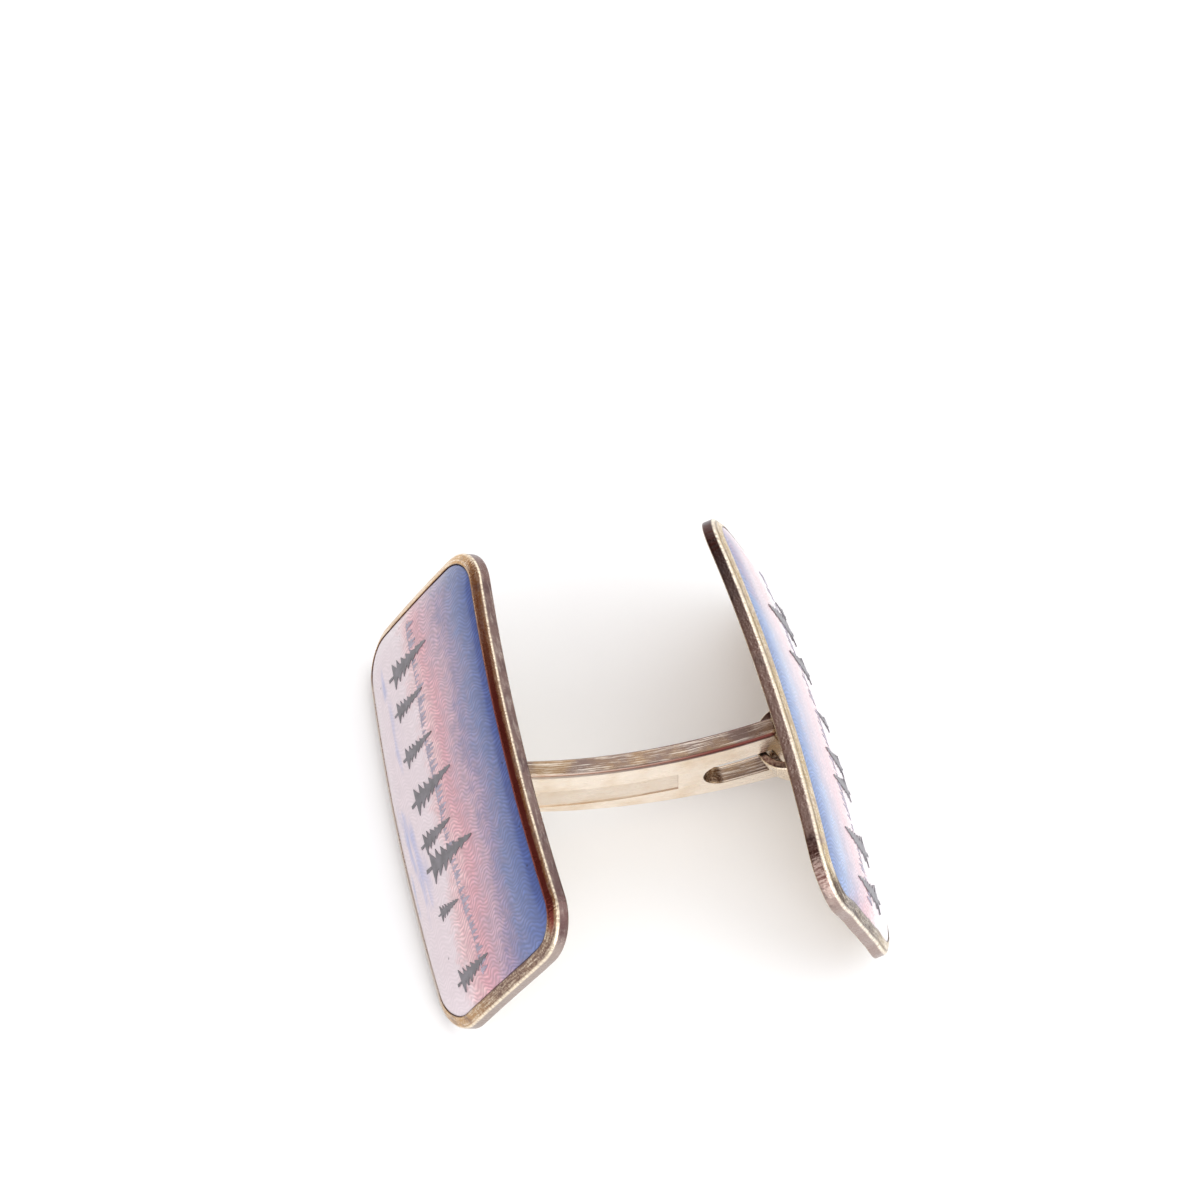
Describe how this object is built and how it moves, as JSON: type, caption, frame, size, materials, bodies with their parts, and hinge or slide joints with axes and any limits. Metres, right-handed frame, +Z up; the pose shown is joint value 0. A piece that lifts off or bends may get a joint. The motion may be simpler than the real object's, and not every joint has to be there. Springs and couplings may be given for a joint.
{
  "type": "cufflink",
  "caption": "Double-faced cufflink: rounded oblong enamel plates on a bent slotted bar, one plate fixed, the other a toggle that folds on a staple.",
  "frame": {"origin": "middle of the footprint, on the level of the plates' lower long edges", "axes": "+X from the front plate to the toggle plate, +Y along the plates' long sides, +Z up"},
  "size_m": [0.021, 0.02, 0.0099],
  "materials": {
    "gilt_plate": "worn gilding, tarnished walls",
    "gilt_bar": "pale polished gilding",
    "solder": "dull, as run",
    "enamel": "gloss over engine turning"
  },
  "bodies": {
    "front": {"front_plate": "gilt_plate", "front_enamel": "enamel", "bridge_bar": "gilt_bar", "bar_solder": "solder"},
    "toggle": {"toggle_plate": "gilt_plate", "toggle_enamel": "enamel", "toggle_staple": "gilt_bar", "staple_solder_near": "solder", "staple_solder_far": "solder"}
  },
  "joints": [
    {"name": "toggle_fold", "type": "hinge", "parent": "front", "child": "toggle", "pos_m": [0.00676, 0, 0.00454], "axis": [-0.4274, 0, 0.9041], "range_deg": [-90, 85]}
  ]
}
